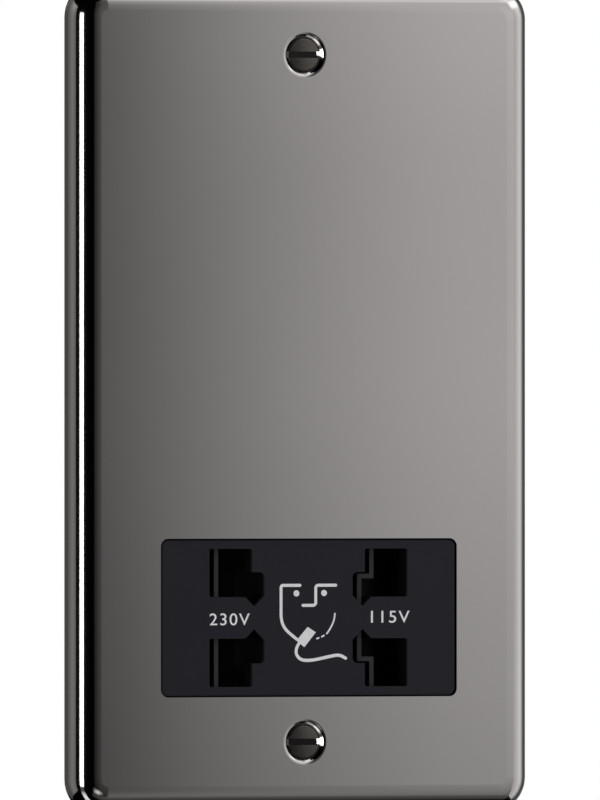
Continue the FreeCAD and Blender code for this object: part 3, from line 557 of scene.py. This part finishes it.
pictogram = {
    "jawCorner": [(-1.25, 5.68), (-4.87, 5.68), (-4.87, 2.0)],
    "jawBend": 0.45,
    "jawCurve": [(-4.87, 1.5), (-4.87, -0.3), (-4.2, -2.0), (-1.9, -3.75)],
    "nose": [(5.62, 5.68), (1.78, 5.68), (1.78, 2.16), (-0.66, 2.16)],
    "noseBend": 0.55,
    "cord": [(-1.4, -4.45), (-1.95, -5.35), (-2.0, -6.5), (-1.0, -7.5), (1.2, -7.5),
             (4.27, -6.85), (6.3, -6.5), (7.5, -7.15)],
    "shaver": [(0.22, -1.63), (-1.93, -4.03), (-0.42, -5.19), (1.8, -2.57)],
    "cheek": [(5.46, 0.7), (5.3, -0.5), (4.6, -1.9), (3.9, -2.8)],
    "dashes": [[(3.35, -3.15), (2.95, -3.35)], [(2.35, -3.55), (2.0, -3.68)]],
    "eyes": [(-1.93, 4.27), (3.36, 4.32)],
}


def legendMaterial():
    paint = Paint("legendInk")
    wear = paint.noise(*legendSet["wear"])
    paint.set(
        Base_Color=paint.mix(wear, legendSet["inkShadeTone"], legendSet["inkTone"]),
        Roughness=legendSet["inkRoughness"] + wear * legendSet["inkRoughnessSpread"])
    return paint.material


def smoothLine(points):
    # points of a uniform B-spline of degree 2 whose end points are there three times, so that
    # it starts and ends on them: each stretch blends three neighbours by (1-t)^2/2,
    # 1/2+t(1-t) and t^2/2
    points = np.array(points, float)
    padded = np.vstack([points[:1], points[:1], points, points[-1:], points[-1:]])
    t = np.linspace(0.0, 1.0, legendSet["curveSteps"], endpoint=False)[:, None]
    before, here, after = padded[:-2], padded[1:-1], padded[2:]
    curve = (before[:, None] * ((1 - t) ** 2 / 2) + here[:, None] * (0.5 + t * (1 - t))
             + after[:, None] * (t ** 2 / 2)).reshape(-1, 2)
    line = np.vstack([curve, points[-1:]])
    moved = np.linalg.norm(np.diff(line, axis=0), axis=1) > 1e-6
    return line[np.concatenate([[True], moved])]


def roundedLine(corners, radius):
    # straight runs whose inner corners are rounded by the quadratic curve
    # (1-t)^2 a + 2t(1-t) b + t^2 c with a and c at the given distance from the corner b
    corners = np.array(corners, float)
    before = corners[:-2] - corners[1:-1]
    after = corners[2:] - corners[1:-1]
    before *= radius / np.linalg.norm(before, axis=1, keepdims=True)
    after *= radius / np.linalg.norm(after, axis=1, keepdims=True)
    t = np.linspace(0.0, 1.0, legendSet["bendSteps"])[:, None]
    middle = corners[1:-1][:, None]
    bends = (middle + before[:, None] * (1 - t) ** 2 + after[:, None] * t ** 2).reshape(-1, 2)
    return np.vstack([corners[:1], bends, corners[-1:]])


def strokeOutline(line, width):
    # outline of a ribbon round a line: offset to each side by half the width, along the mean
    # normal of the two neighbouring runs, with half a circle at both ends
    run = np.gradient(line, axis=0)
    run /= np.linalg.norm(run, axis=1, keepdims=True)
    normal = np.stack([-run[:, 1], run[:, 0]], 1)
    half = width / 2
    angles = np.linspace(0.0, np.pi, legendSet["endSteps"] + 2)[1:-1, None]
    tail = line[0] + half * (np.cos(angles) * -normal[0] - np.sin(angles) * run[0])
    head = line[-1] + half * (np.cos(angles) * normal[-1] + np.sin(angles) * run[-1])
    return np.vstack([line + half * normal, head, (line - half * normal)[::-1], tail])


def eyeOutline(centre):
    turn = np.linspace(0.0, 2 * np.pi, legendSet["eyeSteps"], endpoint=False)
    radius = legendSet["eyeRadius"]
    return np.stack([centre[0] + radius * np.cos(turn), centre[1] + radius * np.sin(turn)], 1)


def printMiddle():
    # the outlet face is centred on the rear cover, which lies behind it, and the print sits
    # a little to the left of that
    low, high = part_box("socket_rear_cover")
    return ((low.x + high.x) / 2 + legendSet["shift"] * millimetre, (low.z + high.z) / 2)


def recalculateNormals(mesh):
    work = bmesh.new()
    work.from_mesh(mesh)
    bmesh.ops.remove_doubles(work, verts=work.verts, dist=1e-7)
    bmesh.ops.recalc_face_normals(work, faces=work.faces)
    bmesh.ops.triangulate(work, faces=[f for f in work.faces if len(f.verts) > 4])
    work.to_mesh(mesh)
    work.free()


def finishPrint(name, mesh, material):
    recalculateNormals(mesh)
    mesh.materials.clear()
    mesh.materials.append(material)
    piece = linkNew(name, mesh)
    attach(piece, "housing")


def makePictogram(material):
    # flat closed outlines lifted off the insert's face: front cap and a thin wall, each
    # outline a little higher than the one before, so that no two caps share a plane
    jaw = np.vstack([roundedLine(pictogram["jawCorner"], pictogram["jawBend"]),
                     smoothLine(pictogram["jawCurve"])])
    nose = roundedLine(pictogram["nose"], pictogram["noseBend"])
    outlines = [strokeOutline(jaw, legendSet["stroke"]),
                strokeOutline(nose, legendSet["stroke"]),
                strokeOutline(smoothLine(pictogram["cord"]), legendSet["cordStroke"]),
                np.array(pictogram["shaver"]),
                strokeOutline(smoothLine(pictogram["cheek"]), legendSet["thinStroke"])]
    outlines += [strokeOutline(np.array(dash), legendSet["thinStroke"])
                 for dash in pictogram["dashes"]]
    outlines += [eyeOutline(centre) for centre in pictogram["eyes"]]
    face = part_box("socket_insert")[0].y
    middleX, middleZ = printMiddle()
    vertices = []
    faces = []
    for order, outline in enumerate(outlines):
        start = len(vertices)
        count = len(outline)
        rise = (legendSet["rise"] + order * legendSet["riseStep"]) * millimetre
        for depth in (face - rise, face + legendSet["sink"] * millimetre):
            for x, z in outline:
                vertices.append((middleX + x * legendSet["spread"] * millimetre, depth,
                                 middleZ + z * millimetre))
        faces.append([start + i for i in range(count)])
        for i in range(count):
            j = (i + 1) % count
            faces.append([start + j, start + i, start + count + i, start + count + j])
    mesh = bpy.data.meshes.new("shaverPictogram")
    mesh.from_pydata(vertices, [], faces)
    finishPrint("shaverPictogram", mesh, material)


def makeLegend(name, words, x, z, material):
    # letters of the built-in font, fitted to the height and width given for these words
    data = bpy.data.curves.new(name, "FONT")
    data.body = words
    data.align_x = "CENTER"
    data.align_y = "CENTER"
    data.size = 1.0
    data.space_character = legendSet["letterSpacing"]
    data.offset = legendSet["letterWeight"]
    data.extrude = legendSet["letterDepth"]
    shape = linkNew(name + "Curve", data)
    bpy.context.view_layer.update()
    mesh = bpy.data.meshes.new_from_object(shape.evaluated_get(
        bpy.context.evaluated_depsgraph_get()))
    bpy.data.objects.remove(shape)
    points = np.zeros(len(mesh.vertices) * 3)
    mesh.vertices.foreach_get("co", points)
    points = points.reshape(-1, 3)
    low, high = points.min(0), points.max(0)
    middle = (low + high) / 2
    heightScale = legendSet["textHeight"] * millimetre / (high[1] - low[1])
    widthScale = legendSet["textWidth"][words] * millimetre / (high[0] - low[0])
    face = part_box("socket_insert")[0].y
    middleX, middleZ = printMiddle()
    placed = np.stack([middleX + x * legendSet["spread"] * millimetre
                       + (points[:, 0] - middle[0]) * widthScale,
                       face - (points[:, 2] - low[2]) / (high[2] - low[2])
                       * legendSet["rise"] * millimetre,
                       middleZ + z * millimetre + (points[:, 1] - middle[1]) * heightScale], 1)
    mesh.vertices.foreach_set("co", placed.ravel())
    mesh.name = name
    finishPrint(name, mesh, material)


# Light cards round the plate: azimuth, elevation and size in degrees and metres, brightness
# by stops from left to right (across) and from bottom to top (up) as seen from the plate
cards = {
    "faceCard": {"azimuth": 20.6, "distance": 0.6, "width": 0.8, "height": 1.2, "strength": 1.0,
                 "across": [(0.0, 0.02), (0.2, 0.05), (0.32, 0.1), (0.44, 0.1), (0.486, 0.35),
                            (0.53, 0.54), (0.57, 0.6), (1.0, 0.63)],
                 "up": [(0.0, 0.35), (0.1, 0.45), (0.3, 0.6), (0.425, 0.77), (0.5, 1.12),
                        (0.5375, 1.12), (0.575, 1.33), (0.875, 1.2), (0.93, 1.4), (1.0, 2.0)]},
    "cornerCard": {"azimuth": -9.0, "elevation": -35.5, "distance": 0.5, "width": 0.2,
                   "height": 0.15, "across": [(0.0, 0.2), (0.5, 1.0), (1.0, 0.1)],
                   "up": [(0.0, 0.05), (0.5, 1.0), (1.0, 0.05)], "strength": 1.3},
    "rightRearCard": {"azimuth": 137.0, "distance": 3.0, "width": 2.6, "height": 4.0,
                      "across": [(0.0, 0.1), (1.0, 0.16)], "up": [(0.0, 1.0), (1.0, 1.0)],
                      "strength": 1.0},
    "leftSoftbox": {"azimuth": -62.0, "elevation": -4.0, "distance": 3.0, "width": 0.78,
                    "height": 1.75,
                    "across": [(0.0, 1.0), (1.0, 1.0)], "up": [(0.0, 1.0), (1.0, 1.0)],
                    "strength": 5.0},
    "lowLeftSoftbox": {"azimuth": -66.0, "elevation": -48.0, "distance": 3.0, "width": 0.7,
                       "height": 3.4, "across": [(0.0, 0.8), (1.0, 1.0)],
                       "up": [(0.0, 0.8), (0.5, 1.0), (0.62, 0.6), (0.72, 0.12), (1.0, 0.05)],
                       "strength": 1.6},
    "nadirCard": {"azimuth": 0.0, "elevation": -88.0, "distance": 1.2, "width": 0.6,
                  "height": 0.6, "across": [(0.0, 0.9), (1.0, 0.6)],
                  "up": [(0.0, 1.0), (1.0, 1.0)], "strength": 0.8},
    "rearCard": {"azimuth": -123.5, "distance": 3.0, "width": 4.28, "height": 4.0,
                 "across": [(0.0, 0.14), (0.32, 0.09), (0.72, 0.3), (1.0, 0.2)],
                 "up": [(0.0, 1.0), (0.6, 1.0), (1.0, 1.8)], "strength": 1.0},
    "rightSoftbox": {"azimuth": 83.0, "distance": 3.0, "width": 3.48, "height": 5.2,
                     "across": [(0.0, 0.64), (0.16, 0.69), (0.36, 0.85), (0.55, 1.01),
                                (0.67, 0.87), (0.8, 0.49), (1.0, 0.03)],
                     "up": [(0.0, 0.6), (0.5, 0.8), (0.72, 0.95), (0.79, 2.0), (1.0, 2.0)],
                     "strength": 1.25},
    "topSoftbox": {"azimuth": 60.0, "elevation": 62.0, "distance": 1.2, "width": 1.4,
                   "height": 1.05, "across": [(0.0, 0.5), (0.4, 1.0), (1.0, 1.0)],
                   "up": [(0.0, 1.0), (1.0, 1.0)], "strength": 1.3},
    "lowCard": {"azimuth": 20.6, "elevation": -42.0, "distance": 1.2, "width": 1.6,
                "height": 0.8, "across": [(0.0, 0.5), (1.0, 1.0)],
                "up": [(0.0, 0.05), (0.4, 0.16), (1.0, 0.3)], "strength": 1.0},
}

# highest brightness in the cards' upward stops
upTop = 2


def cardMaterial(name, across, up, strength):
    # brightness is the product of one ramp across the card and one up the card, the second
    # held at a share of its top because a ramp's stops end at 1
    paint = Paint(name)
    place = paint.add("ShaderNodeTexCoord", output="UV")
    sideLevel = paint.add("ShaderNodeSeparateXYZ", inputs={0: place}, output=0)
    heightLevel = paint.add("ShaderNodeSeparateXYZ", inputs={0: place}, output=1)
    held = [(position, level / upTop) for position, level in up]
    sideTone = paint.add("ShaderNodeValToRGB", {"stops": across}, {0: sideLevel})
    heightTone = paint.add("ShaderNodeValToRGB", {"stops": held}, {0: heightLevel})
    paint.set(Base_Color=rgb(0, 0, 0), Roughness=1.0, Specular_IOR_Level=0.0,
              Emission_Color=sideTone * heightTone, Emission_Strength=strength * upTop)
    return paint.material


def makeCard(name, azimuth, distance, width, height, across, up, strength, elevation=0.0):
    lift = math.radians(elevation)
    out = heading(azimuth) * math.cos(lift) + Vector((0, 0, math.sin(lift)))
    right = sideways(azimuth)
    upward = out.cross(right)
    corners = [out * distance + right * (width / 2 * a) + upward * (height / 2 * b)
               for a, b in ((-1, -1), (1, -1), (1, 1), (-1, 1))]
    mesh = bpy.data.meshes.new(name)
    mesh.from_pydata([tuple(c) for c in corners], [], [(0, 1, 2, 3)])
    layer = mesh.uv_layers.new(name="across")
    layer.data.foreach_set("uv", [0, 0, 1, 0, 1, 1, 0, 1])
    mesh.materials.append(cardMaterial(name, across, up, strength))
    card = linkNew(name, mesh)
    card.visible_camera = False
    card.visible_shadow = False


floorSet = {
    "radius": 0.4,
    "drop": 0.05,
    "steps": 64,
    "tone": rgb(0.8, 0.8, 0.8),
    "roughness": 0.8,
}


def makeFloor():
    # pale disc below the plate, out of the photograph's frame
    steps = floorSet["steps"]
    turn = np.linspace(0, 2 * np.pi, steps, endpoint=False)
    ring = np.stack([floorSet["radius"] * np.cos(turn), floorSet["radius"] * np.sin(turn),
                     np.full(steps, cadLow.z - floorSet["drop"])], 1)
    mesh = bpy.data.meshes.new("floor")
    mesh.from_pydata(ring.tolist(), [], [list(range(steps))])
    paint = Paint("paleFloor")
    paint.set(Base_Color=floorSet["tone"], Roughness=floorSet["roughness"])
    mesh.materials.append(paint.material)
    floor = linkNew("floor", mesh)
    floor.visible_glossy = False


worldSet = {
    "camera": 1.0,
    "diffuse": 0.5,
    "other": 0.001,
}


def makeWorld():
    # white to the camera, mid grey to diffuse rays, nearly black to reflections
    world = bpy.data.worlds.new("studio")
    bpy.context.scene.world = world
    world.use_nodes = True
    tree = world.node_tree
    tree.nodes.clear()
    path = tree.nodes.new("ShaderNodeLightPath")

    def paper(level):
        background = tree.nodes.new("ShaderNodeBackground")
        background.inputs["Color"].default_value = rgb(level, level, level)
        return background.outputs[0]

    def chosen(ray, otherwise, seen):
        choice = tree.nodes.new("ShaderNodeMixShader")
        tree.links.new(path.outputs[ray], choice.inputs[0])
        tree.links.new(otherwise, choice.inputs[1])
        tree.links.new(seen, choice.inputs[2])
        return choice.outputs[0]

    soft = chosen("Is Diffuse Ray", paper(worldSet["other"]), paper(worldSet["diffuse"]))
    whole = chosen("Is Camera Ray", soft, paper(worldSet["camera"]))
    out = tree.nodes.new("ShaderNodeOutputWorld")
    tree.links.new(whole, out.inputs[0])


makeCamera()
print("camera in place")
dressNodes()
ink = legendMaterial()
makePictogram(ink)
makeLegend("legendLeft", *legendSet["leftText"], ink)
makeLegend("legendRight", *legendSet["rightText"], ink)
print("legends made")
for cardName, cardValues in cards.items():
    makeCard(cardName, **cardValues)
makeFloor()
makeWorld()
bpy.context.scene.view_settings.view_transform = "Standard"
print("lights in place")
